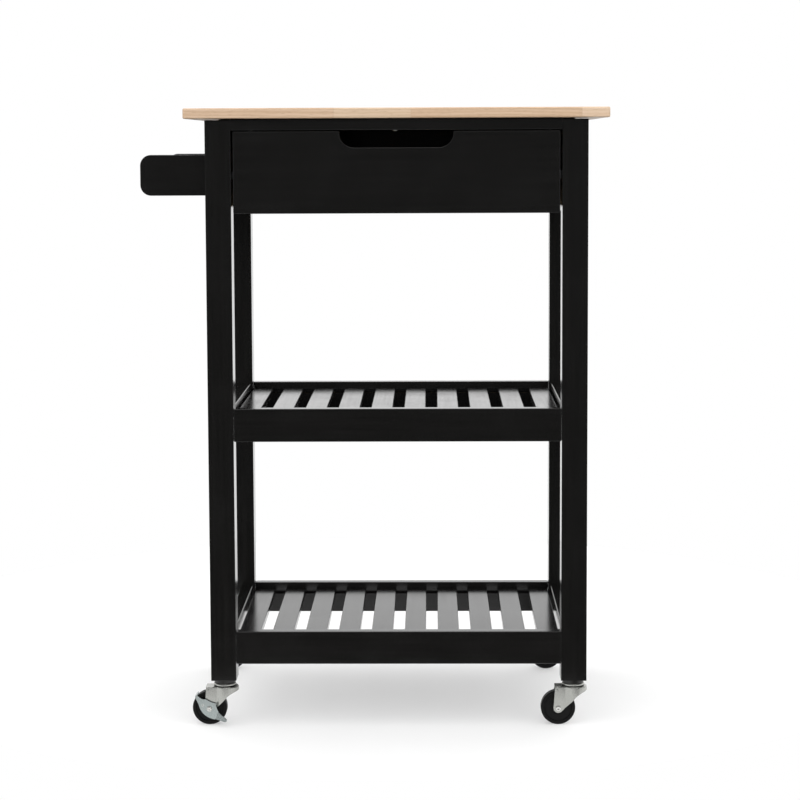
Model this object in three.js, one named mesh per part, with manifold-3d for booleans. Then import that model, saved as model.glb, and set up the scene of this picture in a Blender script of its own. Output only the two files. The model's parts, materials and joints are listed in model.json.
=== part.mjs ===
// Rolling kitchen cart with a butcher block top, a drawer, two slatted shelves,
// a side towel bar and four swivel casters. Millimetres, +Z up, front towards -Y.
// Pieces are placed in frame coordinates: X = 0 on the outer face of the left legs,
// Y = 0 on the front face of the front legs, Z = 0 on the floor.
import * as THREE from 'three';
import { mergeVertices } from 'three/addons/utils/BufferGeometryUtils.js';
import Module from 'manifold-3d';

const wasm = await Module();
wasm.setup();

// Vertices of one body closer than this are one vertex.
const WELD_DISTANCE = 1e-4;

// Clearance left between two pieces that touch or are screwed together.
const GAP = 0.3;

// How far a cutting tool reaches past the faces it cuts, and a joined body into its neighbour.
const OVERCUT = 1;

// Driving dimensions of the whole cart.
const TOTAL_HEIGHT = 900;
const FRAME_WIDTH = 548;
const FRAME_DEPTH = 380;
const CASTER_HEIGHT = 62;
const LEG = 37;
const BOARD = 18;
const SOCKET_RADIUS = 15.5;
const SOCKET_HEIGHT = 5.7;

// Worktop.
const TOP_THICKNESS = 15;
const TOP_OVERHANG_SIDE = 30;
const TOP_OVERHANG_FRONT = 10;
const LEG_TO_TOP_GAP = 1.8;

// Shelf frames and slats.
const SHELF_TOPS = { lower: 141, upper: 468 };
const RAIL_HEIGHT = 48;
const SIDE_BOARD_INSET = 2.5;
const SLAT_COUNT = 10;
const SLAT_WIDTH = 31.5;
const SLAT_PITCH = 48.9;
const SLAT_THICKNESS = 11;
const SLAT_DROP = 9;
const TONGUE_THICKNESS = 5;
const TONGUE_DROP = 3;
const TONGUE_LENGTH = 5.5;
const GROOVE_DEPTH = 6;

// Drawer and its opening.
const DRAWER_BOTTOM = 749.4;
const DRAWER_FRONT_HEIGHT = 117.5;
const DRAWER_SIDE_GAP = 3;
const DRAWER_TOP_GAP = 1.4;
const FINGER_SLOT_WIDTH = 163;
const FINGER_SLOT_DEPTH = 23.4;
const FINGER_SLOT_RADIUS = 21.2;
const BOX_SIDE_THICKNESS = 12;
const BOX_SIDE_OFFSET = 4;
const BOX_BASE = 758;
const BOX_TOP = 842;
const BOX_BACK_Y = 345;
const BOTTOM_PANEL_Z = 764;
const BOTTOM_PANEL_THICKNESS = 5;
const BOTTOM_GROOVE_DEPTH = 5;
const RUNNER_BASE = 798.3;
const RUNNER_HEIGHT = 11;
const RUNNER_ENGAGEMENT = 5;
const RUNNER_CLEARANCE = 0.5;
const RUNNER_FRONT_Y = 20;
const RUNNER_BACK_Y = 360;

// Towel bar on the left side.
const BRACKET_REACH = 94;
const BRACKET_BASE = 775.6;
const BRACKET_HEIGHT = 58.4;
const BRACKET_RADIUS = 15.5;
const BAR_RADIUS = 12.5;
const BAR_REACH = 66;
const BAR_SOCKET_DEPTH = 12;

// Casters, measured from the swivel axis. The wheel trails towards -X.
const WHEEL_RADIUS = 25.25;
const WHEEL_HALF_WIDTH = 8.5;
const CASTER_TRAIL = 22;
const CUP_RADIUS = 16.5;
const CUP_HEIGHT = 4.2;
const CUP_GROOVE_HEIGHT = 1.4;
const CUP_GROOVE_DEPTH = 1.5;
const CUP_CHAMFER = 0.8;
const STEM_RADIUS = 5.5;
const STEM_LENGTH = 38;
const STEM_HOLE_RESERVE = 2;
const KINGPIN_RADIUS = 4;
const KINGPIN_HEAD_RADIUS = 6.5;
const KINGPIN_HEAD_HEIGHT = 2;
const CROWN_RADIUS = 17.5;
const CROWN_CENTRE = 3;
const CROWN_THICKNESS = 2.7;
const CROWN_REAR = 27;
const CROWN_EDGE_RADIUS = 1.8;
const CROWN_LIP_REAR = 2;
const CROWN_LIP_FRONT = 3;
const THROAT = [0.3, 38.5];
const THROAT_BEND = [6, 47.5];
const FLARE_START = -12;
const FLARE_ANGLE = 128;
const ARM_THICKNESS = 2;
const ARM_INNER = 9.5;
const ARM_END_RADIUS = 6.9;
const ARM_END_ANGLE = -42;
const SHEET_MARGIN = 5;
const RELIEF_HOLE_RADIUS = 0.8;
const RELIEF_HOLE_X = -23.5;
const RELIEF_HOLE_DROP = 2;
const AXLE_RADIUS = 3;
const AXLE_HEAD_RADIUS = 3.9;
const AXLE_HEAD_HEIGHT = 1.2;
const RUNNING_CLEARANCE = 0.1;

// Half section of a wheel, from the bore out to the tread.
const HUB_RADIUS = 9;
const HUB_FOOT_RADIUS = 10;
const WHEEL_FACE_RECESS = 2;
const RIM_RADIUS = 20.75;
const RIM_SLOPE = 1;
const RIM_RECESS = 0.5;
const SHOULDER_RADIUS = 23.25;
const SHOULDER_RECESS = 1;
const TREAD_RECESS = 3.5;

// Sides of round pieces: small pins and holes, discs, and the wheels and towel bar.
const PIN_SIDES = 24;
const DISC_SIDES = 32;
const WHEEL_SIDES = 40;
const RELIEF_HOLE_SIDES = 12;

// Steps in each curve: outlines of boards, of the bent fork, its rounded edge, and small plates.
const BOARD_CURVE_STEPS = 12;
const FORK_CURVE_STEPS = 10;
const FORK_EDGE_STEPS = 4;
const PLATE_CURVE_STEPS = 8;

// Brake lever, measured from the wheel axle in the plane of the wheel. Its edges are curves, each
// given by a bend point and an end point.
const LEVER_THICKNESS = 2;
const LEVER_SPACING = 1.2;
const SPACER_RADIUS = 4.6;
const SHOE_INNER_RADIUS = 25.65;
const SHOE_THICKNESS = 2.2;
const SHOE_START_ANGLE = 131;
const SHOE_END_ANGLE = 139;
const SHOE_FAR_SIDE = 7;
const LEVER_UPPER_EDGE = [[-12, 13, -5, 14.5], [2, 9.5, 9, 8.3], [9.8, 1.5, 14.5, -6.8]];
const LEVER_HEEL = [8, -15.8];
const LEVER_LOWER_EDGE = [-11, -12, -15.5, 6];
const PEDAL_BEND = [11.5, -10.3];
const PEDAL_HEADING = -19;
const PEDAL_LIFT = 38;
const PEDAL_LENGTH = 20;
const PEDAL_WIDTH = 10.5;
const PEDAL_TIP_RADIUS = 2.6;
const PEDAL_ROOT = -2;
const PEDAL_SHOULDER = 3;

// Derived levels.
const TOP_UNDERSIDE = TOTAL_HEIGHT - TOP_THICKNESS;
const APRON_TOP = TOP_UNDERSIDE - GAP;
const SOCKET_BASE = CASTER_HEIGHT + GAP;
const LEG_BOTTOM = SOCKET_BASE + SOCKET_HEIGHT;
const LEG_TOP = TOP_UNDERSIDE - LEG_TO_TOP_GAP;
const INNER_LEFT = LEG;
const INNER_RIGHT = FRAME_WIDTH - LEG;
const REAR_LEG_Y = FRAME_DEPTH - LEG;
const LEFT_BOARD_X = LEG - SIDE_BOARD_INSET - BOARD;
const RIGHT_BOARD_X = FRAME_WIDTH - LEFT_BOARD_X - BOARD;
const BACK_BOARD_Y = FRAME_DEPTH - BOARD;
const DRAWER_TOP = DRAWER_BOTTOM + DRAWER_FRONT_HEIGHT;
const CROWN_TOP = CASTER_HEIGHT - CUP_HEIGHT - GAP;
const CROWN_BASE = CROWN_TOP - CROWN_THICKNESS;
const ARM_OUTER = ARM_INNER + ARM_THICKNESS;
const LEVER_BACK = -ARM_OUTER - LEVER_SPACING;

const FINISHES = {
  wood: { color: 0xcfb496, roughness: 0.55, metalness: 0 },
  lacquer: { color: 0x141414, roughness: 0.35, metalness: 0 },
  drawer_lining: { color: 0xc9b28c, roughness: 0.7, metalness: 0 },
  runner: { color: 0xa6a8aa, roughness: 0.4, metalness: 0.9 },
  zinc: { color: 0xb9bcc0, roughness: 0.3, metalness: 1 },
  tyre: { color: 0x101010, roughness: 0.5, metalness: 0 },
};

const cart = new THREE.Group();
cart.position.set(
  (BRACKET_REACH - FRAME_WIDTH - TOP_OVERHANG_SIDE) / 2,
  -FRAME_DEPTH / 2,
  0,
);

function addPiece(name, geometry, finish, x = 0, y = 0, z = 0) {
  const mesh = new THREE.Mesh(geometry, new THREE.MeshStandardMaterial(FINISHES[finish]));
  mesh.name = name;
  mesh.position.set(x, y, z);
  cart.add(mesh);
}

function toSolid(geometry) {
  const bare = geometry.clone();
  bare.deleteAttribute('normal');
  bare.deleteAttribute('uv');
  const merged = mergeVertices(bare, WELD_DISTANCE);
  return new wasm.Manifold(new wasm.Mesh({
    numProp: 3,
    vertProperties: new Float32Array(merged.attributes.position.array),
    triVerts: new Uint32Array(merged.index.array),
  }));
}

function toGeometry(solid) {
  const result = solid.getMesh();
  const geometry = new THREE.BufferGeometry();
  geometry.setAttribute('position', new THREE.BufferAttribute(result.vertProperties, 3));
  geometry.setIndex(new THREE.BufferAttribute(result.triVerts, 1));
  geometry.computeVertexNormals();
  return geometry;
}

function cut(body, ...tools) {
  return toGeometry(tools.reduce((solid, tool) => solid.subtract(toSolid(tool)), toSolid(body)));
}

function join(...bodies) {
  return toGeometry(bodies.map(toSolid).reduce((solid, body) => solid.add(body)));
}

// A block between two opposite corners.
function block(x0, x1, y0, y1, z0, z1) {
  const geometry = new THREE.BoxGeometry(x1 - x0, y1 - y0, z1 - z0);
  return geometry.translate((x0 + x1) / 2, (y0 + y1) / 2, (z0 + z1) / 2);
}

// A cylinder along Z, centred on (x, y), from z0 to z1.
function uprightRod(radius, z0, z1, x = 0, y = 0, sides = PIN_SIDES) {
  const geometry = new THREE.CylinderGeometry(radius, radius, z1 - z0, sides);
  return geometry.rotateX(Math.PI / 2).translate(x, y, (z0 + z1) / 2);
}

// A cylinder along Y, centred on (x, z), from y0 to y1.
function crossRod(radius, y0, y1, x = 0, z = 0, sides = PIN_SIDES) {
  const geometry = new THREE.CylinderGeometry(radius, radius, y1 - y0, sides);
  return geometry.translate(x, (y0 + y1) / 2, z);
}

// An outline in X and Z, extruded along Y from y0 to y1.
function profileAlongY(shape, y0, y1, curveSegments = BOARD_CURVE_STEPS) {
  const options = { depth: y1 - y0, bevelEnabled: false, curveSegments };
  return new THREE.ExtrudeGeometry(shape, options).rotateX(Math.PI / 2).translate(0, y1, 0);
}

// An outline in Y and Z, extruded along X from x0 to x1.
function profileAlongX(shape, x0, x1) {
  const options = { depth: x1 - x0, bevelEnabled: false };
  const geometry = new THREE.ExtrudeGeometry(shape, options);
  return geometry.rotateX(Math.PI / 2).rotateZ(Math.PI / 2).translate(x0, 0, 0);
}

function polygon(points) {
  return new THREE.Shape(points.map(([x, y]) => new THREE.Vector2(x, y)));
}

function addWorktop() {
  addPiece('worktop', block(
    -TOP_OVERHANG_SIDE, FRAME_WIDTH + TOP_OVERHANG_SIDE,
    -TOP_OVERHANG_FRONT, FRAME_DEPTH + TOP_OVERHANG_FRONT,
    TOP_UNDERSIDE, TOTAL_HEIGHT,
  ), 'wood');
}

// The four corners, each with its name, leg position and swivel axis.
const CORNERS = [
  { name: 'front_left', x: 0, y: 0 },
  { name: 'front_right', x: INNER_RIGHT, y: 0 },
  { name: 'rear_left', x: 0, y: REAR_LEG_Y },
  { name: 'rear_right', x: INNER_RIGHT, y: REAR_LEG_Y },
];

// A leg with the round flange of its stem socket under it.
function addLegs() {
  const centre = LEG / 2;
  const flange = uprightRod(
    SOCKET_RADIUS, SOCKET_BASE, LEG_BOTTOM + OVERCUT, centre, centre, DISC_SIDES,
  );
  const holeTop = SOCKET_BASE + STEM_LENGTH + STEM_HOLE_RESERVE;
  const stemHole = uprightRod(STEM_RADIUS + GAP, SOCKET_BASE - OVERCUT, holeTop, centre, centre);
  const leg = cut(join(block(0, LEG, 0, LEG, LEG_BOTTOM, LEG_TOP), flange), stemHole);
  for (const corner of CORNERS) {
    addPiece(`leg_${corner.name}`, leg, 'lacquer', corner.x, corner.y);
  }
}

function addAprons() {
  const side = block(0, BOARD, LEG + GAP, REAR_LEG_Y - GAP, DRAWER_BOTTOM, APRON_TOP);
  addPiece('apron_left', side, 'lacquer', LEFT_BOARD_X);
  addPiece('apron_right', side, 'lacquer', RIGHT_BOARD_X);
  addPiece('apron_back', block(
    INNER_LEFT + GAP, INNER_RIGHT - GAP, BACK_BOARD_Y, FRAME_DEPTH, DRAWER_BOTTOM, APRON_TOP,
  ), 'lacquer');
  addPiece('rail_above_drawer', block(
    INNER_LEFT + GAP, INNER_RIGHT - GAP, 0, BOARD, DRAWER_TOP + DRAWER_TOP_GAP, APRON_TOP,
  ), 'lacquer');
}

// Front rail of a shelf: a board with a groove in its inner face for the slat tongues.
function groovedRailOutline(topZ) {
  const base = topZ - RAIL_HEIGHT;
  const grooveTop = topZ - SLAT_DROP - TONGUE_DROP + GAP;
  const grooveBase = topZ - SLAT_DROP - TONGUE_DROP - TONGUE_THICKNESS - GAP;
  const floor = BOARD - GROOVE_DEPTH;
  return polygon([
    [0, base], [BOARD, base], [BOARD, grooveBase], [floor, grooveBase],
    [floor, grooveTop], [BOARD, grooveTop], [BOARD, topZ], [0, topZ],
  ]);
}

function addShelfFrame(level, topZ) {
  const frontRail = profileAlongX(groovedRailOutline(topZ), INNER_LEFT + GAP, INNER_RIGHT - GAP);
  const backRail = frontRail.clone().rotateZ(Math.PI).translate(FRAME_WIDTH, FRAME_DEPTH, 0);
  addPiece(`${level}_shelf_rail_front`, frontRail, 'lacquer');
  addPiece(`${level}_shelf_rail_back`, backRail, 'lacquer');
  const side = block(0, BOARD, LEG + GAP, REAR_LEG_Y - GAP, topZ - RAIL_HEIGHT, topZ);
  addPiece(`${level}_shelf_rail_left`, side, 'lacquer', LEFT_BOARD_X);
  addPiece(`${level}_shelf_rail_right`, side, 'lacquer', RIGHT_BOARD_X);
}

// A slat with its full thickness between the rails and a tongue on each end.
function slatOutline(slatTop) {
  const base = slatTop - SLAT_THICKNESS;
  const tongueTop = slatTop - TONGUE_DROP;
  const tongueBase = tongueTop - TONGUE_THICKNESS;
  const front = BOARD + GAP;
  const back = FRAME_DEPTH - front;
  const frontTip = BOARD - TONGUE_LENGTH;
  const backTip = FRAME_DEPTH - frontTip;
  return polygon([
    [front, base], [back, base], [back, tongueBase], [backTip, tongueBase],
    [backTip, tongueTop], [back, tongueTop], [back, slatTop], [front, slatTop],
    [front, tongueTop], [frontTip, tongueTop], [frontTip, tongueBase], [front, tongueBase],
  ]);
}

function addSlats(level, topZ) {
  const slat = profileAlongX(slatOutline(topZ - SLAT_DROP), -SLAT_WIDTH / 2, SLAT_WIDTH / 2);
  for (let i = 0; i < SLAT_COUNT; i += 1) {
    const x = FRAME_WIDTH / 2 + (i - (SLAT_COUNT - 1) / 2) * SLAT_PITCH;
    addPiece(`${level}_shelf_slat_${i + 1}`, slat, 'lacquer', x);
  }
}

// Drawer front with an open finger slot in the middle of its top edge.
function drawerFrontOutline() {
  const left = INNER_LEFT + DRAWER_SIDE_GAP;
  const right = INNER_RIGHT - DRAWER_SIDE_GAP;
  const slotLeft = (FRAME_WIDTH - FINGER_SLOT_WIDTH) / 2;
  const slotRight = slotLeft + FINGER_SLOT_WIDTH;
  const slotBase = DRAWER_TOP - FINGER_SLOT_DEPTH;
  const arcZ = slotBase + FINGER_SLOT_RADIUS;
  const shape = new THREE.Shape();
  shape.moveTo(left, DRAWER_BOTTOM);
  shape.lineTo(right, DRAWER_BOTTOM);
  shape.lineTo(right, DRAWER_TOP);
  shape.lineTo(slotRight, DRAWER_TOP);
  shape.absarc(slotRight - FINGER_SLOT_RADIUS, arcZ, FINGER_SLOT_RADIUS, 0, -Math.PI / 2, true);
  shape.absarc(slotLeft + FINGER_SLOT_RADIUS, arcZ, FINGER_SLOT_RADIUS, -Math.PI / 2, -Math.PI, true);
  shape.lineTo(slotLeft, DRAWER_TOP);
  shape.lineTo(left, DRAWER_TOP);
  return shape;
}

// Left side of the drawer box: a runner groove outside, a bottom panel groove inside.
function drawerSideOutline() {
  const outer = INNER_LEFT + BOX_SIDE_OFFSET;
  const inner = outer + BOX_SIDE_THICKNESS;
  const runnerFloor = INNER_LEFT + BOX_SIDE_OFFSET + RUNNER_ENGAGEMENT + RUNNER_CLEARANCE;
  const runnerBase = RUNNER_BASE - RUNNER_CLEARANCE;
  const runnerTop = RUNNER_BASE + RUNNER_HEIGHT + RUNNER_CLEARANCE;
  const panelFloor = inner - BOTTOM_GROOVE_DEPTH;
  const panelBase = BOTTOM_PANEL_Z - GAP;
  const panelTop = BOTTOM_PANEL_Z + BOTTOM_PANEL_THICKNESS + GAP;
  return polygon([
    [outer, BOX_BASE], [inner, BOX_BASE], [inner, panelBase], [panelFloor, panelBase],
    [panelFloor, panelTop], [inner, panelTop], [inner, BOX_TOP], [outer, BOX_TOP],
    [outer, runnerTop], [runnerFloor, runnerTop], [runnerFloor, runnerBase], [outer, runnerBase],
  ]);
}

function addDrawer() {
  const boxFront = BOARD + GAP;
  const inner = INNER_LEFT + BOX_SIDE_OFFSET + BOX_SIDE_THICKNESS;
  addPiece('drawer_front', profileAlongY(drawerFrontOutline(), 0, BOARD), 'lacquer');
  const leftSide = profileAlongY(drawerSideOutline(), boxFront, BOX_BACK_Y);
  const rightSide = leftSide.clone().rotateZ(Math.PI);
  addPiece('drawer_side_left', leftSide, 'drawer_lining');
  addPiece('drawer_side_right', rightSide, 'drawer_lining', FRAME_WIDTH, boxFront + BOX_BACK_Y);
  addPiece('drawer_back', block(
    inner + GAP, FRAME_WIDTH - inner - GAP,
    BOX_BACK_Y - BOX_SIDE_THICKNESS, BOX_BACK_Y,
    BOTTOM_PANEL_Z + BOTTOM_PANEL_THICKNESS + GAP, BOX_TOP,
  ), 'drawer_lining');
  const panelEdge = inner - BOTTOM_GROOVE_DEPTH + GAP;
  addPiece('drawer_bottom', block(
    panelEdge, FRAME_WIDTH - panelEdge, boxFront, BOX_BACK_Y,
    BOTTOM_PANEL_Z, BOTTOM_PANEL_Z + BOTTOM_PANEL_THICKNESS,
  ), 'drawer_lining');
}

// Fixed strips on the inner faces of the legs that carry the drawer in its side grooves.
function addRunners() {
  const width = BOX_SIDE_OFFSET + RUNNER_ENGAGEMENT - GAP;
  const runner = block(
    0, width, RUNNER_FRONT_Y, RUNNER_BACK_Y, RUNNER_BASE, RUNNER_BASE + RUNNER_HEIGHT,
  );
  addPiece('drawer_runner_left', runner, 'runner', INNER_LEFT + GAP);
  addPiece('drawer_runner_right', runner, 'runner', INNER_RIGHT - GAP - width);
}

function bracketOutline() {
  const top = BRACKET_BASE + BRACKET_HEIGHT;
  const arcX = BRACKET_RADIUS - BRACKET_REACH;
  const shape = new THREE.Shape();
  shape.moveTo(-GAP, BRACKET_BASE);
  shape.lineTo(-GAP, top);
  shape.absarc(arcX, top - BRACKET_RADIUS, BRACKET_RADIUS, Math.PI / 2, Math.PI, false);
  shape.absarc(arcX, BRACKET_BASE + BRACKET_RADIUS, BRACKET_RADIUS, Math.PI, 1.5 * Math.PI, false);
  return shape;
}

// Two brackets on the outer faces of the left legs, with a round bar let into both.
function addTowelBar() {
  const frontY = (LEG - BOARD) / 2;
  const backY = FRAME_DEPTH - frontY - BOARD;
  const barZ = BRACKET_BASE + BRACKET_HEIGHT / 2;
  const socketFloor = frontY + BOARD - BAR_SOCKET_DEPTH;
  const socket = crossRod(
    BAR_RADIUS + GAP, socketFloor, FRAME_DEPTH - socketFloor, -BAR_REACH, barZ, WHEEL_SIDES,
  );
  const front = profileAlongY(bracketOutline(), frontY, frontY + BOARD);
  const back = profileAlongY(bracketOutline(), backY, backY + BOARD);
  addPiece('towel_bar_bracket_front', cut(front, socket), 'lacquer');
  addPiece('towel_bar_bracket_back', cut(back, socket), 'lacquer');
  addPiece('towel_bar', crossRod(
    BAR_RADIUS, socketFloor + GAP, FRAME_DEPTH - socketFloor - GAP, -BAR_REACH, barZ, WHEEL_SIDES,
  ), 'lacquer');
}

// Stem with its race cup and the kingpin that holds the fork, riveted over underneath.
function casterStem() {
  const stemTop = SOCKET_BASE + STEM_LENGTH;
  const cupBase = CASTER_HEIGHT - CUP_HEIGHT;
  const grooveTop = cupBase + CUP_GROOVE_HEIGHT;
  const waist = CUP_RADIUS - CUP_GROOVE_DEPTH;
  const headTop = CROWN_BASE - GAP;
  const headBase = headTop - KINGPIN_HEAD_HEIGHT;
  const outline = [
    [0, stemTop], [STEM_RADIUS, stemTop],
    [STEM_RADIUS, CASTER_HEIGHT], [CUP_RADIUS - CUP_CHAMFER, CASTER_HEIGHT],
    [CUP_RADIUS, CASTER_HEIGHT - CUP_CHAMFER], [CUP_RADIUS, grooveTop],
    [waist, grooveTop], [waist, cupBase],
    [KINGPIN_RADIUS, cupBase], [KINGPIN_RADIUS, headTop],
    [KINGPIN_HEAD_RADIUS, headTop], [KINGPIN_HEAD_RADIUS, headBase], [0, headBase],
  ];
  const points = outline.reverse().map(([r, z]) => new THREE.Vector2(r, z));
  return new THREE.LatheGeometry(points, DISC_SIDES).rotateX(Math.PI / 2);
}

// Plan of the fork in X and Y: flat arms beside the wheel that flare out into a round crown.
function forkPlan(inset, rear) {
  const side = ARM_OUTER - inset;
  const radius = CROWN_RADIUS - inset;
  const angle = FLARE_ANGLE * Math.PI / 180;
  const joinX = CROWN_CENTRE + radius * Math.cos(angle);
  const joinY = radius * Math.sin(angle);
  const bendX = joinX + (joinY - side) * Math.tan(angle);
  const shape = new THREE.Shape();
  shape.moveTo(rear, -side);
  shape.lineTo(FLARE_START, -side);
  shape.quadraticCurveTo(bendX, -side, joinX, -joinY);
  shape.absarc(CROWN_CENTRE, 0, radius, -angle, angle, false);
  shape.quadraticCurveTo(bendX, side, FLARE_START, side);
  shape.lineTo(rear, side);
  return shape;
}

// Side view of the fork, from the crown down to the axle.
function forkSideOutline() {
  const shape = new THREE.Shape();
  const front = CROWN_CENTRE + CROWN_RADIUS + OVERCUT;
  const endAngle = ARM_END_ANGLE * Math.PI / 180;
  shape.moveTo(-CROWN_REAR, CROWN_TOP + OVERCUT);
  shape.lineTo(-CROWN_REAR, CROWN_BASE - CROWN_LIP_REAR);
  shape.lineTo(-CASTER_TRAIL - ARM_END_RADIUS, WHEEL_RADIUS);
  shape.absarc(-CASTER_TRAIL, WHEEL_RADIUS, ARM_END_RADIUS, -Math.PI, endAngle, false);
  shape.lineTo(...THROAT);
  shape.quadraticCurveTo(...THROAT_BEND, front, CROWN_BASE - CROWN_LIP_FRONT);
  shape.lineTo(front, CROWN_TOP + OVERCUT);
  return shape;
}

// A block over the whole plan of the fork, its top edge rounded by the bend of the sheet.
function forkEnvelope(rear, bottom) {
  const round = CROWN_EDGE_RADIUS;
  const geometry = new THREE.ExtrudeGeometry(forkPlan(round, rear), {
    depth: CROWN_TOP - bottom - 2 * round,
    bevelThickness: round,
    bevelSize: round,
    bevelSegments: FORK_EDGE_STEPS,
    curveSegments: FORK_CURVE_STEPS,
  });
  return geometry.translate(0, 0, bottom + round);
}

// One bent steel sheet: the envelope hollowed to the sheet's thickness and trimmed to the side view.
function forkBody() {
  const bottom = WHEEL_RADIUS - ARM_END_RADIUS - SHEET_MARGIN;
  const rear = -CASTER_TRAIL - ARM_END_RADIUS - SHEET_MARGIN;
  const cavity = new THREE.ExtrudeGeometry(forkPlan(ARM_THICKNESS, rear - SHEET_MARGIN), {
    depth: CROWN_BASE - bottom + OVERCUT,
    bevelEnabled: false,
    curveSegments: FORK_CURVE_STEPS,
  }).translate(0, 0, bottom - OVERCUT);
  const reach = CROWN_RADIUS + OVERCUT;
  const side = profileAlongY(forkSideOutline(), -reach, reach, PLATE_CURVE_STEPS);
  const sheet = toSolid(forkEnvelope(rear, bottom)).subtract(toSolid(cavity));
  return toGeometry(sheet.intersect(toSolid(side)));
}

// The axle is a rivet, set fast in both arms. On a braked caster it also holds the lever, which
// a spacer keeps clear of the flare of the arm.
function forkAxle(braked) {
  const frontHead = braked ? LEVER_BACK - LEVER_THICKNESS - GAP : -ARM_OUTER;
  const rod = (radius, y0, y1) => crossRod(radius, y0, y1, -CASTER_TRAIL, WHEEL_RADIUS);
  const pieces = [
    rod(AXLE_RADIUS, frontHead - AXLE_HEAD_HEIGHT / 2, ARM_OUTER + AXLE_HEAD_HEIGHT / 2),
    rod(AXLE_HEAD_RADIUS, frontHead - AXLE_HEAD_HEIGHT, frontHead),
    rod(AXLE_HEAD_RADIUS, ARM_OUTER - ARM_THICKNESS / 2, ARM_OUTER + AXLE_HEAD_HEIGHT),
  ];
  if (braked) {
    pieces.push(rod(SPACER_RADIUS, LEVER_BACK + GAP, -ARM_OUTER + ARM_THICKNESS / 2));
  }
  return pieces;
}

function casterFork(braked) {
  const kingpinHole = uprightRod(
    KINGPIN_RADIUS + RUNNING_CLEARANCE, CROWN_BASE - OVERCUT, CROWN_TOP + OVERCUT,
  );
  const reach = ARM_OUTER + OVERCUT;
  const holeZ = CROWN_BASE - RELIEF_HOLE_DROP;
  const reliefHole = crossRod(
    RELIEF_HOLE_RADIUS, -reach, reach, RELIEF_HOLE_X, holeZ, RELIEF_HOLE_SIDES,
  );
  return cut(join(forkBody(), ...forkAxle(braked)), kingpinHole, reliefHole);
}

// Wheel turned about its axle, with a recessed hub face and a crowned tread.
function casterWheel() {
  const bore = AXLE_RADIUS + RUNNING_CLEARANCE;
  const recess = WHEEL_HALF_WIDTH - WHEEL_FACE_RECESS;
  const half = [
    [bore, WHEEL_HALF_WIDTH], [HUB_RADIUS, WHEEL_HALF_WIDTH], [HUB_FOOT_RADIUS, recess],
    [RIM_RADIUS - RIM_SLOPE, recess], [RIM_RADIUS, WHEEL_HALF_WIDTH - RIM_RECESS],
    [SHOULDER_RADIUS, WHEEL_HALF_WIDTH - SHOULDER_RECESS],
    [WHEEL_RADIUS, WHEEL_HALF_WIDTH - TREAD_RECESS],
  ];
  const outline = [...half.map(([r, y]) => [r, -y]), ...half.reverse()];
  const points = [...outline, outline[0]].map(([r, y]) => new THREE.Vector2(r, y));
  return new THREE.LatheGeometry(points, WHEEL_SIDES);
}

function onCircle(radius, degrees) {
  const angle = degrees * Math.PI / 180;
  return [radius * Math.cos(angle), radius * Math.sin(angle)];
}

// Pressed steel lever: a leaf-shaped plate, measured from the axle.
function leverOutline() {
  const outer = SHOE_INNER_RADIUS + SHOE_THICKNESS;
  const start = SHOE_END_ANGLE * Math.PI / 180;
  const end = SHOE_START_ANGLE * Math.PI / 180;
  const shape = new THREE.Shape();
  shape.absarc(0, 0, outer, start, end, true);
  for (const curve of LEVER_UPPER_EDGE) {
    shape.quadraticCurveTo(...curve);
  }
  shape.lineTo(...LEVER_HEEL);
  shape.quadraticCurveTo(...LEVER_LOWER_EDGE);
  return shape;
}

// Shoe bent over the tread, as a short arc beside the tyre.
function shoeOutline() {
  const start = SHOE_START_ANGLE * Math.PI / 180;
  const end = SHOE_END_ANGLE * Math.PI / 180;
  const shape = new THREE.Shape();
  shape.absarc(0, 0, SHOE_INNER_RADIUS + SHOE_THICKNESS, start, end, false);
  shape.lineTo(...onCircle(SHOE_INNER_RADIUS, SHOE_END_ANGLE));
  shape.absarc(0, 0, SHOE_INNER_RADIUS, end, start, true);
  return shape;
}

// Foot pedal: a tongue that starts in the lever's plate and is bent out of it towards the foot.
function pedalTongue() {
  const tip = PEDAL_LENGTH - PEDAL_TIP_RADIUS;
  const halfWidth = PEDAL_WIDTH / 2;
  const shape = new THREE.Shape();
  shape.moveTo(PEDAL_ROOT, -halfWidth);
  shape.lineTo(PEDAL_SHOULDER, -halfWidth);
  shape.lineTo(tip, -PEDAL_TIP_RADIUS);
  shape.absarc(tip, 0, PEDAL_TIP_RADIUS, -Math.PI / 2, Math.PI / 2, false);
  shape.lineTo(PEDAL_SHOULDER, halfWidth);
  shape.lineTo(PEDAL_ROOT, halfWidth);
  const tongue = profileAlongY(shape, -LEVER_THICKNESS, 0, PLATE_CURVE_STEPS);
  tongue.rotateZ(-PEDAL_LIFT * Math.PI / 180);
  tongue.rotateY(-PEDAL_HEADING * Math.PI / 180);
  return tongue.translate(PEDAL_BEND[0], LEVER_BACK, PEDAL_BEND[1]);
}

function brakeLever() {
  const face = LEVER_BACK - LEVER_THICKNESS;
  const middle = LEVER_BACK - LEVER_THICKNESS / 2;
  const lever = join(
    profileAlongY(leverOutline(), face, LEVER_BACK, PLATE_CURVE_STEPS),
    profileAlongY(shoeOutline(), middle, SHOE_FAR_SIDE, PLATE_CURVE_STEPS),
    pedalTongue(),
  );
  const bore = AXLE_RADIUS + RUNNING_CLEARANCE;
  return cut(lever, crossRod(bore, face - OVERCUT, LEVER_BACK + OVERCUT));
}

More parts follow.
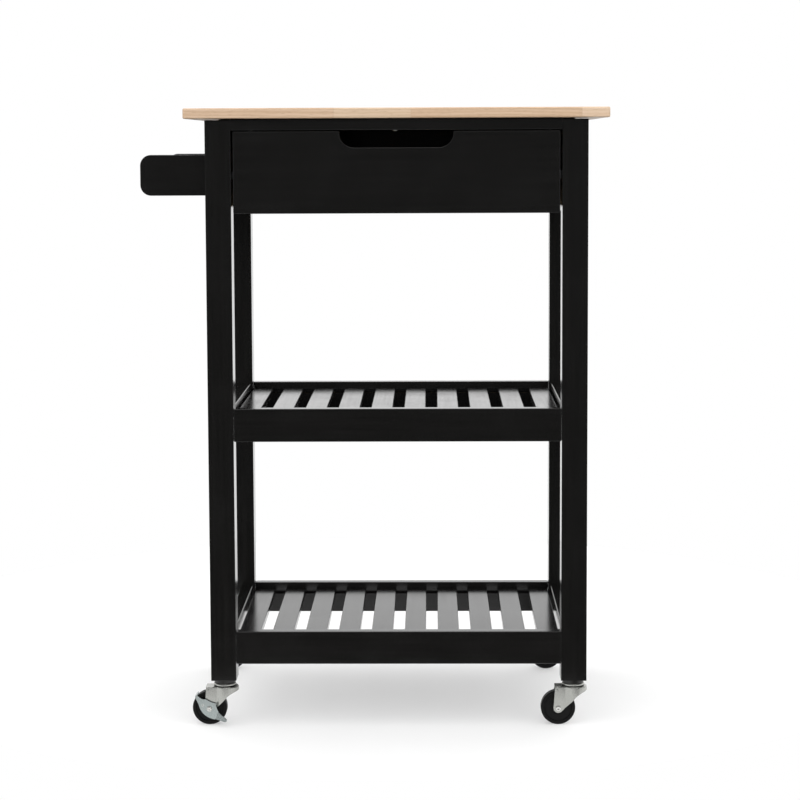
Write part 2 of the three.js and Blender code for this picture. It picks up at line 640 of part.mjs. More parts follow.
function addCasters() {
  const stem = casterStem();
  const wheel = casterWheel();
  for (const corner of CORNERS) {
    const x = corner.x + LEG / 2;
    const y = corner.y + LEG / 2;
    const braked = corner.name === 'front_left';
    addPiece(`caster_stem_${corner.name}`, stem, 'zinc', x, y);
    addPiece(`caster_fork_${corner.name}`, casterFork(braked), 'zinc', x, y);
    addPiece(`caster_wheel_${corner.name}`, wheel, 'tyre', x - CASTER_TRAIL, y, WHEEL_RADIUS);
    if (braked) {
      addPiece('brake_lever', brakeLever(), 'zinc', x - CASTER_TRAIL, y, WHEEL_RADIUS);
    }
  }
}

addWorktop();
addLegs();
addAprons();
for (const [level, topZ] of Object.entries(SHELF_TOPS)) {
  addShelfFrame(level, topZ);
  addSlats(level, topZ);
}
addDrawer();
addRunners();
addTowelBar();
addCasters();

export default cart;
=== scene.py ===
"""Looks of the rolling butcher block kitchen cart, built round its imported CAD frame. Metres."""
import json
import math
import random

import bmesh
import bpy
from mathutils import Matrix, Vector


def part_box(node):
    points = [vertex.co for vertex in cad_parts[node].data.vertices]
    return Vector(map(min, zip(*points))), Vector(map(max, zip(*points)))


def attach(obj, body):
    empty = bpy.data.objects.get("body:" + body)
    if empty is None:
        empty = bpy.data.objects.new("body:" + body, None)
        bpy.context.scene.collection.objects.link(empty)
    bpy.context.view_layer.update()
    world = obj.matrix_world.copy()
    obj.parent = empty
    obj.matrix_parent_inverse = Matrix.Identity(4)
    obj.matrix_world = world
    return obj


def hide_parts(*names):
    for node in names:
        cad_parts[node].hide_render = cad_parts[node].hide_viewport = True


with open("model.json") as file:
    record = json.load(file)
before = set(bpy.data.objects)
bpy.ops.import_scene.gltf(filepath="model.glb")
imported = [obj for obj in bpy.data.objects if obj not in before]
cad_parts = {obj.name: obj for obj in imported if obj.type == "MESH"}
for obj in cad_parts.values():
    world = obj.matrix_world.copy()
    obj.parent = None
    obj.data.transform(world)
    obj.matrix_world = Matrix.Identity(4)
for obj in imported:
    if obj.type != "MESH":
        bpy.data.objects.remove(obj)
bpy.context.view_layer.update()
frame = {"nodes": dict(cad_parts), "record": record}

NODES = frame["nodes"]
MM = 0.001
CORNERS = ("front_left", "front_right", "rear_left", "rear_right")
BRAKED_CORNER = "front_left"

# Camera: place, turn to the right, pitch down, roll, focal length and sensor in mm, upward shift.
CAMERA_PLACE = Vector((0.0813, -3.3319, 0.8500))
CAMERA_TURN = -0.0144
CAMERA_PITCH = 0.0951
CAMERA_ROLL = 0.0041
CAMERA_LENS = 98.71
CAMERA_SENSOR = 36.0
CAMERA_SHIFT_Y = -0.06

# Worktop staves: number of rows, joints and tones of the front row, length limits of the others.
STAVE_ROWS = 10
FRONT_ROW_JOINTS = (-0.057, 0.053, 0.296)
FRONT_ROW_TONES = (0.3, 0.65, 0.2, 1.0)
FIRST_STAVE_LENGTH = (0.05, 0.26)
STAVE_LENGTH = (0.12, 0.33)
LAST_STAVE_LENGTH = 0.04
STAVE_SEED = 7
SEAM_HALF_WIDTH = 0.12 * MM
TOP_EDGE_ROUND = 2.2 * MM
TOP_EDGE_SEGMENTS = 4

# Studio: floor disc, overhead light, and how bright matt surfaces find each part of the walls.
FLOOR_RADIUS = 0.9
FLOOR_CENTRE_Y = 0.44
FLOOR_SIDES = 128
FLOOR_GLOW = 0.30
OVERHEAD_POWER = 0.2
OVERHEAD_SPREAD = math.radians(75)
OVERHEAD_TILT = (math.radians(20), math.radians(-6), 0)
HORIZON_GLOW = 2.7
ZENITH_GLOW = 1.1
GROUND_GLOW = 0.1
FRONT_GLOW = 1.4

# What shiny surfaces see: a dark patch in front of the cart, walls round it, a lamp overhead.
DARK_PATCH = 0.05
DARK_PATCH_EDGE = (-math.cos(math.radians(32)), -math.cos(math.radians(52)))
MIRRORED_HORIZON = 1.4
MIRRORED_ZENITH = 0.95
MIRRORED_SIDES = 0.6
MIRRORED_OVERHEAD = 2.4

# Rounded edges of the CAD nodes. Faces within a small angle of each other are one flat face.
BOARD_EDGE_ROUND = 1.4 * MM
SMALL_EDGE_ROUND = 0.4 * MM
EDGE_SEGMENTS = 3
EDGE_MIN_ANGLE = math.radians(32)
FLAT_ANGLE = math.radians(0.5)
WELD_DISTANCE = 0.01 * MM

# Casters, measured from the axle along Y: outer faces of the fork's arm and of the brake lever,
# and how far the heads of the axle rivet stand out from them.
ARM_FACE = 11.5 * MM
LEVER_FACE = 14.7 * MM
RIVET_REACH = 1.2 * MM
LEVER_RIVET_REACH = 1.5 * MM
RIVET_END_RADIUS = 3.7 * MM
RIVET_END_HEIGHT = 0.8 * MM
RIVET_END_SINK = 0.05 * MM
STAKED_PETALS = 5
EYELET_PLACE = Vector((-9.6 * MM, -LEVER_FACE, 5.4 * MM))
EYELET_RADIUS = 1.3 * MM
EYELET_RISE = 0.4 * MM

# Half section of a black ring of painted shade in the race groove, in mm: radius, height above the
# fork's crown.
GROOVE_SHADE_OUTLINE = (
    (14.9, 0.35), (15.7, 0.35), (16.0, 0.6), (16.0, 1.3), (15.7, 1.6), (14.9, 1.6),
)

# Screw under the rail above the drawer: its place along the rail, and from the rail's middle.
STOP_SCREW_X = 30.5 * MM
STOP_SCREW_FORWARD = 4 * MM
STOP_SCREW_STAND_OFF = 0.1 * MM
STOP_SCREW_RADIUS = 3.6 * MM


# Node helpers -----------------------------------------------------------------------------------


def new_material(name):
    material = bpy.data.materials.new(name)
    material.use_nodes = True
    tree = material.node_tree
    return material, tree, tree.nodes["Principled BSDF"]


def add(tree, kind, inputs=None, **settings):
    """Adds a node. An input is given as a socket to link or as a plain value."""
    made = tree.nodes.new(kind)
    for key, value in settings.items():
        setattr(made, key, value)
    for key, value in (inputs or {}).items():
        if isinstance(value, bpy.types.NodeSocket):
            tree.links.new(value, made.inputs[key])
        else:
            made.inputs[key].default_value = value
    return made


def place(tree):
    return add(tree, "ShaderNodeTexCoord").outputs["Object"]


def vector_math(tree, operation, first, second):
    made = add(tree, "ShaderNodeVectorMath", {0: first, 1: second}, operation=operation)
    return made.outputs[0]


def stretched(tree, vector, scale):
    return vector_math(tree, "MULTIPLY", vector, scale)


def by_grain(along, lengthwise, across):
    """A scale for each axis: one value along the grain, another across it."""
    return tuple(lengthwise if axis == along else across for axis in range(3))


def repeated(tree, value):
    """A vector with the same value on all three axes."""
    return add(tree, "ShaderNodeCombineXYZ", {0: value, 1: value, 2: value}).outputs[0]


def noise(tree, vector, scale=1.0, detail=3.0, roughness=0.5):
    inputs = {"Vector": vector, "Scale": scale, "Detail": detail, "Roughness": roughness}
    return add(tree, "ShaderNodeTexNoise", inputs).outputs["Fac"]


def remap(tree, value, low, high, to_low=0.0, to_high=1.0):
    inputs = {0: value, 1: low, 2: high, 3: to_low, 4: to_high}
    return add(tree, "ShaderNodeMapRange", inputs, clamp=True).outputs[0]


def calculate(tree, operation, first, second):
    return add(tree, "ShaderNodeMath", {0: first, 1: second}, operation=operation).outputs[0]


def ramp(tree, value, stops):
    made = add(tree, "ShaderNodeValToRGB", {"Fac": value})
    elements = made.color_ramp.elements
    while len(elements) < len(stops):
        elements.new(0.5)
    for element, (position, color) in zip(elements, stops):
        element.position = position
        element.color = (*color, 1.0)
    return made.outputs["Color"]


def blend_color(tree, factor, first, second, mode="MIX"):
    made = add(tree, "ShaderNodeMix", {0: factor}, data_type="RGBA", blend_type=mode)
    for socket, value in ((made.inputs[6], first), (made.inputs[7], second)):
        if isinstance(value, bpy.types.NodeSocket):
            tree.links.new(value, socket)
        else:
            socket.default_value = (*value, 1.0)
    return made.outputs[2]


def bump(tree, shader, height, strength, distance):
    inputs = {"Height": height, "Strength": strength, "Distance": distance}
    made = add(tree, "ShaderNodeBump", inputs)
    tree.links.new(made.outputs["Normal"], shader.inputs["Normal"])


def attribute(tree, name, output="Fac"):
    return add(tree, "ShaderNodeAttribute", attribute_name=name).outputs[output]


# Materials --------------------------------------------------------------------------------------


def wood_pattern(tree, vector, along):
    """Growth rings, fibre streaks and pores of a light hardwood, grain running along one axis."""
    sway = noise(tree, stretched(tree, vector, by_grain(along, 2.2, 9.0)), detail=2.0)
    swayed = vector_math(
        tree, "ADD",
        stretched(tree, vector, by_grain(along, 0.4, 1.0)),
        stretched(tree, repeated(tree, sway), (0.03, 0.03, 0.03)),
    )
    rings = add(
        tree, "ShaderNodeTexWave",
        {"Vector": swayed, "Scale": 62.0, "Distortion": 2.2, "Detail": 2.0, "Detail Scale": 1.4},
        wave_type="RINGS", rings_direction="XYZ"[along],
    ).outputs["Fac"]
    fibres = stretched(tree, vector, by_grain(along, 5.0, 210.0))
    streaks = noise(tree, fibres, detail=6.0, roughness=0.62)
    pores = noise(tree, stretched(tree, vector, by_grain(along, 95.0, 1900.0)), detail=2.0)
    return rings, streaks, remap(tree, pores, 0.6, 0.72)


def worktop_wood():
    """Oiled staves. Each has its own tone and its own piece of the pattern, from face attributes."""
    material, tree, shader = new_material("oiled_butcher_block")
    shift = attribute(tree, "stave_shift", "Vector")
    vector = vector_math(tree, "ADD", place(tree), shift)
    rings, streaks, pores = wood_pattern(tree, vector, along=0)
    tone = attribute(tree, "stave_tone")
    base = ramp(tree, tone, [
        (0.0, (0.54, 0.371, 0.238)),
        (0.35, (0.56, 0.400, 0.272)),
        (0.65, (0.585, 0.436, 0.302)),
        (1.0, (0.65, 0.490, 0.352)),
    ])
    darker = blend_color(tree, 1.0, base, (0.80, 0.74, 0.66), "MULTIPLY")
    ringed = blend_color(tree, remap(tree, rings, 0.25, 0.95, 0.0, 0.55), base, darker)
    streaked = blend_color(tree, remap(tree, streaks, 0.42, 0.68, 0.0, 0.6), ringed, darker)
    pored = blend_color(
        tree, calculate(tree, "MULTIPLY", pores, 0.5), streaked, (0.20, 0.105, 0.05),
    )
    glue_line = calculate(tree, "MULTIPLY", attribute(tree, "seam"), 0.55)
    seamed = blend_color(tree, glue_line, pored, (0.17, 0.085, 0.04))
    ends = attribute(tree, "end_grain")
    with_ends = blend_color(tree, ends, seamed, (0.80, 0.72, 0.62), "MULTIPLY")
    tree.links.new(with_ends, shader.inputs["Base Color"])
    roughness = remap(tree, streaks, 0.3, 0.75, 0.42, 0.58)
    tree.links.new(roughness, shader.inputs["Roughness"])
    height = calculate(tree, "SUBTRACT", calculate(tree, "MULTIPLY", streaks, 0.35), pores)
    bump(tree, shader, height, 0.35, 0.12 * MM)
    shader.inputs["Coat Weight"].default_value = 0.12
    shader.inputs["Coat Roughness"].default_value = 0.3
    return material


def lacquer(along):
    """Satin black lacquer over wood. The grain telegraphs faintly along one axis."""
    material, tree, shader = new_material("black_lacquer_" + "xyz"[along])
    vector = place(tree)
    fibres = stretched(tree, vector, by_grain(along, 7.0, 260.0))
    grain = noise(tree, fibres, detail=5.0, roughness=0.6)
    orange_peel = noise(tree, vector, scale=420.0, detail=2.0)
    handling = noise(tree, vector, scale=11.0, detail=4.0, roughness=0.6)
    color = ramp(tree, remap(tree, grain, 0.35, 0.7), [
        (0.0, (0.0026, 0.0025, 0.0023)),
        (1.0, (0.0040, 0.0038, 0.0035)),
    ])
    dusty = blend_color(
        tree, remap(tree, handling, 0.5, 0.85, 0.0, 0.35), color, (0.0065, 0.0063, 0.0059),
    )
    tree.links.new(dusty, shader.inputs["Base Color"])
    roughness = calculate(
        tree, "ADD",
        remap(tree, handling, 0.3, 0.75, 0.15, 0.20),
        remap(tree, grain, 0.35, 0.7, 0.0, 0.03),
    )
    tree.links.new(roughness, shader.inputs["Roughness"])
    height = calculate(
        tree, "ADD",
        calculate(tree, "MULTIPLY", grain, 0.7),
        calculate(tree, "MULTIPLY", orange_peel, 0.3),
    )
    bump(tree, shader, height, 0.18, 0.10 * MM)
    shader.inputs["IOR"].default_value = 1.5
    return material


def drawer_wood(along):
    """Pale softwood of the drawer box."""
    material, tree, shader = new_material("pale_drawer_wood_" + "xyz"[along])
    rings, streaks, pores = wood_pattern(tree, place(tree), along)
    base = ramp(tree, rings, [(0.0, (0.66, 0.48, 0.29)), (1.0, (0.56, 0.38, 0.21))])
    streaked = blend_color(
        tree, remap(tree, streaks, 0.45, 0.7, 0.0, 0.5), base, (0.45, 0.28, 0.14),
    )
    tree.links.new(streaked, shader.inputs["Base Color"])
    tree.links.new(remap(tree, streaks, 0.3, 0.7, 0.55, 0.7), shader.inputs["Roughness"])
    bump(tree, shader, calculate(tree, "SUBTRACT", streaks, pores), 0.25, 0.1 * MM)
    return material


def zinc(name, tint):
    """Zinc plating on pressed steel, with fine scratches and cloudy patches."""
    material, tree, shader = new_material(name)
    vector = place(tree)
    clouds = noise(tree, vector, scale=90.0, detail=5.0, roughness=0.65)
    scratches = noise(tree, stretched(tree, vector, (2600.0, 900.0, 240.0)), detail=3.0)
    color = ramp(tree, clouds, [
        (0.25, [0.92 * c for c in tint]),
        (0.55, [0.97 * c for c in tint]),
        (0.8, tint),
    ])
    tree.links.new(color, shader.inputs["Base Color"])
    shader.inputs["Metallic"].default_value = 1.0
    roughness = calculate(
        tree, "ADD",
        remap(tree, clouds, 0.3, 0.7, 0.22, 0.28),
        remap(tree, scratches, 0.55, 0.75, 0.0, 0.08),
    )
    tree.links.new(roughness, shader.inputs["Roughness"])
    bump(tree, shader, scratches, 0.12, 0.05 * MM)
    return material


def runner_metal():
    """Aluminium brushed along its length."""
    material, tree, shader = new_material("brushed_runner")
    brushing = noise(tree, stretched(tree, place(tree), (2200.0, 12.0, 2200.0)), detail=3.0)
    color = ramp(tree, brushing, [(0.3, (0.36, 0.365, 0.37)), (0.7, (0.52, 0.525, 0.53))])
    tree.links.new(color, shader.inputs["Base Color"])
    shader.inputs["Metallic"].default_value = 1.0
    tree.links.new(remap(tree, brushing, 0.3, 0.7, 0.3, 0.45), shader.inputs["Roughness"])
    bump(tree, shader, brushing, 0.15, 0.03 * MM)
    return material


def wheel_rubber():
    """Black rubber, a little dusty."""
    material, tree, shader = new_material("black_wheel_rubber")
    vector = place(tree)
    grain = noise(tree, vector, scale=1500.0, detail=3.0)
    dust = noise(tree, vector, scale=120.0, detail=5.0, roughness=0.7)
    dusty = remap(tree, dust, 0.5, 0.85, 0.0, 0.3)
    color = blend_color(tree, dusty, (0.0030, 0.0030, 0.0031), (0.012, 0.0115, 0.011))
    tree.links.new(color, shader.inputs["Base Color"])
    tree.links.new(remap(tree, dust, 0.3, 0.7, 0.36, 0.52), shader.inputs["Roughness"])
    shader.inputs["Specular IOR Level"].default_value = 0.12
    bump(tree, shader, grain, 0.15, 0.05 * MM)
    return material


# Mesh helpers -----------------------------------------------------------------------------------


def finish_piece(name, mesh_data, material, body):
    """Turns a bmesh into a piece that rides on a body."""
    mesh = bpy.data.meshes.new(name)
    mesh_data.to_mesh(mesh)
    mesh_data.free()
    mesh.materials.append(material)
    piece = bpy.data.objects.new(name, mesh)
    bpy.context.scene.collection.objects.link(piece)
    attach(piece, body)
    return piece


def weld_group():
    """Geometry nodes that weld a CAD mesh and drop its imported normals."""
    group = bpy.data.node_groups.new("weld", "GeometryNodeTree")
    group.interface.new_socket("Geometry", in_out="INPUT", socket_type="NodeSocketGeometry")
    group.interface.new_socket("Geometry", in_out="OUTPUT", socket_type="NodeSocketGeometry")
    start = add(group, "NodeGroupInput").outputs[0]
    merge_inputs = {"Geometry": start, "Distance": WELD_DISTANCE}
    welded = add(group, "GeometryNodeMergeByDistance", merge_inputs).outputs[0]
    bare_inputs = {"Geometry": welded, "Name": "custom_normal"}
    bare = add(group, "GeometryNodeRemoveAttribute", bare_inputs).outputs[0]
    smooth = add(group, "GeometryNodeSetShadeSmooth", {0: bare, 2: True}, domain="FACE").outputs[0]
    soft = add(group, "GeometryNodeSetShadeSmooth", {0: smooth, 2: True}, domain="EDGE").outputs[0]
    add(group, "NodeGroupOutput", {0: soft})
    return group


WELD = weld_group()


def soften(piece, width):
    """Rounds the sharp edges of a CAD node, as sanding or deburring leaves them."""
    piece.modifiers.new("weld", "NODES").node_group = WELD
    flat = piece.modifiers.new("whole_faces", "DECIMATE")
    flat.decimate_type = "DISSOLVE"
    flat.angle_limit = FLAT_ANGLE
    rounding = piece.modifiers.new("rounded_edges", "BEVEL")
    rounding.width = width
    rounding.segments = EDGE_SEGMENTS
    rounding.limit_method = "ANGLE"
    rounding.angle_limit = EDGE_MIN_ANGLE
    flat_faces(piece)


def flat_faces(piece):
    """Keeps large faces flat and lets only the rounded edges turn the light."""
    weighted = piece.modifiers.new("flat_faces", "WEIGHTED_NORMAL")
    weighted.weight = 100


# A point of an outline nearer to the axis than this lies on it.
ON_AXIS = 1e-7


def ring(radius, sides):
    step = 2 * math.pi / sides
    return [(radius * math.cos(step * i), radius * math.sin(step * i)) for i in range(sides)]


def revolve(outline, centre, axis, sides=96):
    """A turned body: (radius, height) points, closed on themselves or on the axis."""
    body = bmesh.new()
    circles = []
    for radius, height in outline:
        if radius < ON_AXIS:
            circles.append([body.verts.new((0.0, 0.0, height))])
        else:
            circles.append([body.verts.new((x, y, height)) for x, y in ring(radius, sides)])
    closed = outline[0][0] > ON_AXIS and outline[-1][0] > ON_AXIS
    pairs = list(zip(circles, circles[1:]))
    if closed:
        pairs.append((circles[-1], circles[0]))
    for lower, upper in pairs:
        for i in range(sides):
            j = (i + 1) % sides
            corners = [lower[i % len(lower)], lower[j % len(lower)]]
            corners += [upper[j % len(upper)], upper[i % len(upper)]]
            unique = list(dict.fromkeys(corners))
            if len(unique) > 2:
                body.faces.new(unique)
    bmesh.ops.recalc_face_normals(body, faces=body.faces)
    for face in body.faces:
        face.smooth = True
    turn = Vector((0, 0, 1)).rotation_difference(Vector(axis)).to_matrix().to_4x4()
    bmesh.ops.transform(body, matrix=Matrix.Translation(centre) @ turn, verts=body.verts)
    return body


def arc(centre_r, centre_h, radius, start, stop, steps):
    """Points on a circle in the (radius, height) plane, angles in degrees."""
    angles = [math.radians(start + (stop - start) * i / steps) for i in range(steps + 1)]
    return [(centre_r + radius * math.cos(a), centre_h + radius * math.sin(a)) for a in angles]


# Pieces -----------------------------------------------------------------------------------------


def stave_rows(low, high):
    """The joints and tones of each row of staves, from the front row back."""
    chooser = random.Random(STAVE_SEED)
    rows = [(list(FRONT_ROW_JOINTS), list(FRONT_ROW_TONES))]
    while len(rows) < STAVE_ROWS:
        joints = []
        x = low.x + chooser.uniform(*FIRST_STAVE_LENGTH)
        while x < high.x - LAST_STAVE_LENGTH:
            joints.append(x)
            x += chooser.uniform(*STAVE_LENGTH)
        rows.append((joints, [chooser.random() for _ in range(len(joints) + 1)]))
    return rows


def rounded_panel(low, high):
    """A board between two opposite corners, with all its edges rounded."""
    panel = bmesh.new()
    bmesh.ops.create_cube(panel, size=1.0)
    bmesh.ops.scale(panel, vec=high - low, verts=panel.verts)
    bmesh.ops.translate(panel, vec=(low + high) / 2, verts=panel.verts)
    bmesh.ops.bevel(
        panel, geom=panel.edges[:], offset=TOP_EDGE_ROUND, segments=TOP_EDGE_SEGMENTS,
        profile=0.5, affect="EDGES",
    )
    return panel


def cut_seams(panel, places, normal):
    """Divides the faces of a panel on both sides of each seam across one axis."""
    for value in places:
        for side in (-SEAM_HALF_WIDTH, SEAM_HALF_WIDTH):
            bmesh.ops.bisect_plane(
                panel, geom=panel.verts[:] + panel.edges[:] + panel.faces[:],
                plane_co=Vector(normal) * (value + side), plane_no=normal,
            )


def pattern_shift(row, stave):
    """Where in the wood pattern a stave is cut from."""
    chooser = random.Random(100 * row + stave)
    return Vector((
        chooser.uniform(-2, 2), chooser.uniform(-0.09, 0.09), chooser.uniform(-0.09, 0.09),
    ))


def mark_staves(panel, rows, front, row_width, row_seams):
    """Writes on each face its stave's tone and shift, and if it is a seam or end grain."""
    tone_layer = panel.faces.layers.float.new("stave_tone")
    seam_layer = panel.faces.layers.float.new("seam")
    end_layer = panel.faces.layers.float.new("end_grain")
    shift_layer = panel.faces.layers.float_vector.new("stave_shift")
    for face in panel.faces:
        face.smooth = True
        centre = face.calc_center_median()
        row = min(STAVE_ROWS - 1, max(0, int((centre.y - front) / row_width)))
        joints, tones = rows[row]
        stave = sum(centre.x > x for x in joints)
        on_seam = any(abs(centre.y - y) < SEAM_HALF_WIDTH for y in row_seams)
        on_seam = on_seam or any(abs(centre.x - x) < SEAM_HALF_WIDTH for x in joints)
        face[tone_layer] = tones[stave]
        face[seam_layer] = 1.0 if on_seam else 0.0
        face[end_layer] = 1.0 if abs(face.normal.x) > 0.7 else 0.0
        face[shift_layer] = pattern_shift(row, stave)


def build_worktop(material):
    low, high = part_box("worktop")
    panel = rounded_panel(low, high)
    rows = stave_rows(low, high)
    row_width = (high - low).y / STAVE_ROWS
    row_seams = [low.y + row_width * i for i in range(1, STAVE_ROWS)]
    cut_seams(panel, row_seams, (0, 1, 0))
    cut_seams(panel, sorted({x for joints, _ in rows for x in joints}), (1, 0, 0))
    mark_staves(panel, rows, low.y, row_width, row_seams)
    piece = finish_piece("worktop_staves", panel, material, "cart_frame")
    flat_faces(piece)
    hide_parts("worktop")


def wheel_outline():
    """Section of a caster wheel: a half from the bore out to the tread, in mm, and its mirror."""
    half = [(3.1, 8.5), (3.4, 8.5), (8.2, 8.5)]
    half += arc(8.2, 7.9, 0.6, 90, 0, 4)
    half += [(9.0, 7.3)] + arc(10.0, 7.2, 0.7, 180, 270, 4)
    half += [(18.6, 6.5)] + arc(18.9, 7.2, 0.7, 270, 350, 4)
    half += arc(20.5, 7.6, 0.5, 150, 70, 4)
    half += [(21.4, 7.9), (21.7, 7.5), (22.0, 7.8)]
    half += arc(22.3, 5.1, 2.95, 78, 0, 8)
    half += [(25.25, 4.4), (25.25, 0.35), (25.1, 0.2)]
    mirrored = [(r, -h) for r, h in reversed(half)]
    return [(r * MM, h * MM) for r, h in half + mirrored]


def axle_centre(corner):
    low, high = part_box(f"caster_wheel_{corner}")
    return (low + high) / 2


def build_wheel(corner, material):
    wheel = revolve(wheel_outline(), axle_centre(corner), (0, -1, 0))
    body = f"wheel_{corner}"
    piece = finish_piece(f"tyre_and_hub_{corner}", wheel, material, body)
    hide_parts(f"caster_wheel_{corner}")


# Screws and rivets: domed heads with a recess ---------------------------------------------------


def domed_head(radius, height, centre, axis, sides):
    """A low dome standing on a short straight rim."""
    steps = 6
    rim = 0.3 * height
    outline = [(0.0, 0.0), (radius * 0.97, 0.0), (radius, 0.12 * height), (radius, rim)]
    for i in range(1, steps + 1):
        angle = math.radians(90 * i / steps)
        outline.append((radius * math.cos(angle), rim + (height - rim) * math.sin(angle)))
    outline[-1] = (0.0, height)
    return revolve(outline, centre, axis, sides)


def head_axes(axis):
    """The direction a head points in, and two directions across it."""
    direction = Vector(axis).normalized()
    side = direction.orthogonal().normalized()
    return direction, side, direction.cross(side)


def cross_recess(body, centre, axis, reach, depth, width):
    """Presses a cross into a head by sinking the points inside it."""
    direction, side, other = head_axes(axis)
    for vertex in body.verts:
        offset = vertex.co - Vector(centre)
        a, b = abs(offset.dot(side)), abs(offset.dot(other))
        if offset.dot(direction) > depth and min(a, b) < width and max(a, b) < reach:
            vertex.co -= direction * depth


def build_screw(name, centre, axis, radius, material):
    """A screw head with a cross recess, fixed to the frame."""
    height = 0.55 * radius
    head = domed_head(radius, height, centre, axis, sides=48)
    bmesh.ops.subdivide_edges(head, edges=head.edges[:], cuts=2, use_grid_fill=True)
    cross_recess(head, centre, axis, 0.55 * radius, 0.35 * height, 0.13 * radius)
    for face in head.faces:
        face.smooth = True
    finish_piece(name, head, material, "cart_frame")


def rivet_end(centre, axis, radius, height, petals):
    """The closed end of a rivet, dimpled by the tool and spread into petals if it is staked."""
    end = domed_head(radius, height, centre, axis, sides=80)
    direction, side, other = head_axes(axis)
    for vertex in end.verts:
        offset = vertex.co - Vector(centre)
        up = offset.dot(direction)
        across = offset - direction * up
        angle = math.atan2(across.dot(other), across.dot(side))
        valley = 0.5 - 0.5 * math.cos(petals * angle)
        vertex.co -= across * 0.42 * valley
        if across.length < 0.3 * radius:
            vertex.co -= direction * 0.75 * up
    return end


def eyelet(centre, axis, radius, rise):
    """The raised rim of a small punched hole."""
    outline = [(radius + x * rise, y * rise) for x, y in arc(0.0, 0.0, 1.0, 0, 180, 10)]
    return revolve(outline, centre, axis, sides=40)


def build_groove_shade_ring(corner, material):
    """A black ring in the groove under the rim of the stem's cup: painted shade for the shadow in
    the ball race's gap.
    """
    stem_low, stem_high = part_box(f"caster_stem_{corner}")
    crown_centre = (stem_low + stem_high) / 2
    crown_centre.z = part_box(f"caster_fork_{corner}")[1].z
    shade_ring = revolve([(r * MM, h * MM) for r, h in GROOVE_SHADE_OUTLINE], crown_centre, (0, 0, 1))
    finish_piece(f"groove_shade_ring_{corner}", shade_ring, material, "cart_frame")


def build_caster_details(corner, material):
    """Ends of the axle rivet, and the rim of the small hole in the brake lever."""
    axle = axle_centre(corner)
    braked = corner == BRAKED_CORNER
    plain_reach = ARM_FACE + RIVET_REACH
    front_reach = LEVER_FACE + LEVER_RIVET_REACH if braked else plain_reach
    front_petals = STAKED_PETALS if braked else 0
    ends = (("front", front_reach, -1, front_petals), ("back", plain_reach, 1, 0))
    for side, reach, sign, petals in ends:
        centre = axle + Vector((0, sign * (reach - RIVET_END_SINK), 0))
        dome = rivet_end(centre, (0, sign, 0), RIVET_END_RADIUS, RIVET_END_HEIGHT, petals)
        finish_piece(f"rivet_end_{corner}_{side}", dome, material, f"fork_{corner}")
    if braked:
        rim = eyelet(axle + EYELET_PLACE, (0, -1, 0), EYELET_RADIUS, EYELET_RISE)
        finish_piece("brake_lever_eyelet", rim, material, "brake")


# Floor, light and camera ------------------------------------------------------------------------


def floor_material():
    material, tree, shader = new_material("studio_floor")
    mottle = noise(tree, place(tree), scale=3.0, detail=3.0)
    color = ramp(tree, mottle, [(0.3, (0.59, 0.59, 0.59)), (0.7, (0.61, 0.61, 0.61))])
    tree.links.new(color, shader.inputs["Base Color"])
    shader.inputs["Roughness"].default_value = 0.9
    shader.inputs["Specular IOR Level"].default_value = 0.1
    shader.inputs["Emission Color"].default_value = (1.0, 1.0, 1.0, 1.0)
    shader.inputs["Emission Strength"].default_value = FLOOR_GLOW
    return material


def build_floor():
    """A disc that catches the shadow. It gives off a little light, so the shadow stays soft."""
    disc = bmesh.new()
    bmesh.ops.create_circle(disc, cap_ends=True, segments=FLOOR_SIDES, radius=FLOOR_RADIUS)
    bmesh.ops.translate(disc, vec=(0, FLOOR_CENTRE_Y, 0), verts=disc.verts)
    mesh = bpy.data.meshes.new("studio_floor")
    disc.to_mesh(mesh)
    disc.free()
    mesh.materials.append(floor_material())
    floor = bpy.data.objects.new("studio_floor", mesh)
    bpy.context.scene.collection.objects.link(floor)


def mirrored_studio(tree, depth, height):
    """What shiny surfaces see. The dark patch in front of the cart keeps it black."""
    walls = remap(tree, height, 0.08, 0.25, MIRRORED_HORIZON, MIRRORED_ZENITH)
    round_walls = remap(tree, depth, -0.1, 0.7, MIRRORED_SIDES, walls)
    under_lamp = remap(tree, depth, *DARK_PATCH_EDGE, DARK_PATCH, round_walls)
    return remap(tree, height, 0.8, 0.95, under_lamp, MIRRORED_OVERHEAD)


def lit_studio(tree, depth, height):
    """What lights matt surfaces: a sky with a bright horizon, and a low glow in front."""
    upper = remap(tree, height, 0.1, 0.7, HORIZON_GLOW, ZENITH_GLOW)
    low_front = calculate(
        tree, "MULTIPLY",
        remap(tree, depth, -0.9, -0.2, FRONT_GLOW, 0.0),
        remap(tree, height, 0.25, 0.6, 1.0, 0.0),
    )
    raised = calculate(tree, "ADD", upper, low_front)
    return remap(tree, height, -0.04, 0.04, GROUND_GLOW, raised)


def build_world():
    """A studio that is plain white behind the cart."""
    world = bpy.data.worlds.new("studio")
    bpy.context.scene.world = world
    world.use_nodes = True
    tree = world.node_tree
    tree.nodes.clear()
    direction = add(tree, "ShaderNodeTexCoord").outputs["Generated"]
    split = add(tree, "ShaderNodeSeparateXYZ", {0: direction})
    depth, height = split.outputs["Y"], split.outputs["Z"]
    mirrored = mirrored_studio(tree, depth, height)
    lit = lit_studio(tree, depth, height)
    rays = add(tree, "ShaderNodeLightPath")
    level = add(
        tree, "ShaderNodeMix", {0: rays.outputs["Is Glossy Ray"], 2: lit, 3: mirrored},
    ).outputs[0]
    gray = add(tree, "ShaderNodeCombineColor", {0: level, 1: level, 2: level}).outputs[0]
    color = blend_color(tree, rays.outputs["Is Camera Ray"], gray, (1.0, 1.0, 1.0))
    background = add(tree, "ShaderNodeBackground", {"Color": color})
    add(tree, "ShaderNodeOutputWorld", {"Surface": background.outputs[0]})


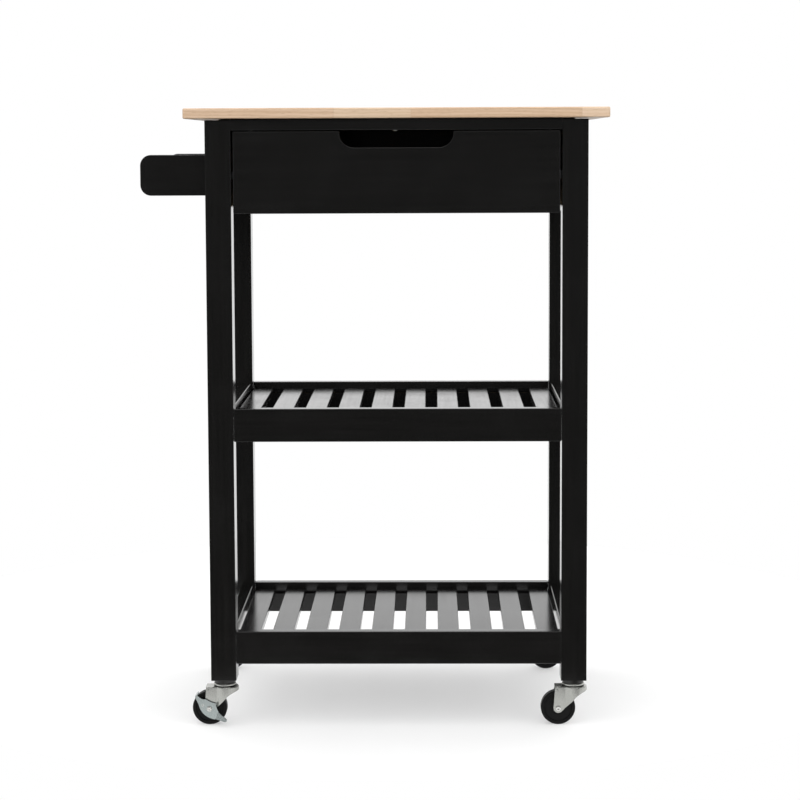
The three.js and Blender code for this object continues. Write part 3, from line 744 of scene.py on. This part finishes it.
def build_lights():
    sun = bpy.data.lights.new("overhead_diffuser", "SUN")
    sun.energy = OVERHEAD_POWER
    sun.angle = OVERHEAD_SPREAD
    overhead = bpy.data.objects.new("overhead_diffuser", sun)
    bpy.context.scene.collection.objects.link(overhead)
    overhead.rotation_euler = OVERHEAD_TILT


def build_camera():
    data = bpy.data.cameras.new("camera")
    data.sensor_width = CAMERA_SENSOR
    data.lens = CAMERA_LENS
    data.shift_y = CAMERA_SHIFT_Y
    camera = bpy.data.objects.new("camera", data)
    bpy.context.scene.collection.objects.link(camera)
    camera.matrix_world = (
        Matrix.Translation(CAMERA_PLACE)
        @ Matrix.Rotation(-CAMERA_TURN, 4, "Z")
        @ Matrix.Rotation(math.pi / 2 - CAMERA_PITCH, 4, "X")
        @ Matrix.Rotation(-CAMERA_ROLL, 4, "Z")
    )
    bpy.context.scene.camera = camera


# Assembly ---------------------------------------------------------------------------------------

MATERIALS = {
    "worktop": worktop_wood(),
    "lacquer": [lacquer(axis) for axis in range(3)],
    "drawer": [drawer_wood(axis) for axis in range(3)],
    "zinc": zinc("zinc_plating", (0.45, 0.455, 0.43)),
    "lever_zinc": zinc("blue_zinc_plating", (0.36, 0.40, 0.395)),
    "rivet_zinc": zinc("burnished_zinc", (0.75, 0.75, 0.73)),
    "runner": runner_metal(),
    "rubber": wheel_rubber(),
}
SLOT_OF = {row["node"]: row["material_slot"] for row in frame["record"]["subparts"]}


def longest_axis(name):
    low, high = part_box(name)
    return max(range(3), key=lambda i: (high - low)[i])


def finish_of(name):
    """The material of a CAD node. Grain runs along the longest side of a board."""
    if name == "brake_lever":
        return MATERIALS["lever_zinc"]
    axis = longest_axis(name)
    return {
        "worktop_wood": MATERIALS["worktop"],
        "lacquer": MATERIALS["lacquer"][axis],
        "drawer_wood": MATERIALS["drawer"][axis],
        "runner_metal": MATERIALS["runner"],
        "zinc": MATERIALS["zinc"],
        "wheel_rubber": MATERIALS["rubber"],
    }[SLOT_OF[name]]


def dress_cad_nodes():
    """Gives every CAD node its finish and rounded edges."""
    for name, node_object in NODES.items():
        node_object.material_slots[0].material = finish_of(name)
        wooden = SLOT_OF[name] in ("lacquer", "drawer_wood")
        soften(node_object, BOARD_EDGE_ROUND if wooden else SMALL_EDGE_ROUND)


def build_stop_screw():
    """The screw in the underside of the rail above the drawer that stops the drawer."""
    low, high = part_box("rail_above_drawer")
    y = (low.y + high.y) / 2 - STOP_SCREW_FORWARD
    head_base = Vector((STOP_SCREW_X, y, low.z + STOP_SCREW_STAND_OFF))
    build_screw("drawer_stop_screw", head_base, (0, 0, -1), STOP_SCREW_RADIUS, MATERIALS["zinc"])


build_camera()
build_world()
build_lights()
build_floor()
dress_cad_nodes()
build_worktop(MATERIALS["worktop"])
for corner in CORNERS:
    build_wheel(corner, MATERIALS["rubber"])
    # A black ring of painted shade in each caster's race groove, made in the wheels' rubber.
    build_groove_shade_ring(corner, MATERIALS["rubber"])
    build_caster_details(corner, MATERIALS["rivet_zinc"])
build_stop_screw()
bpy.context.scene.view_settings.view_transform = "Standard"
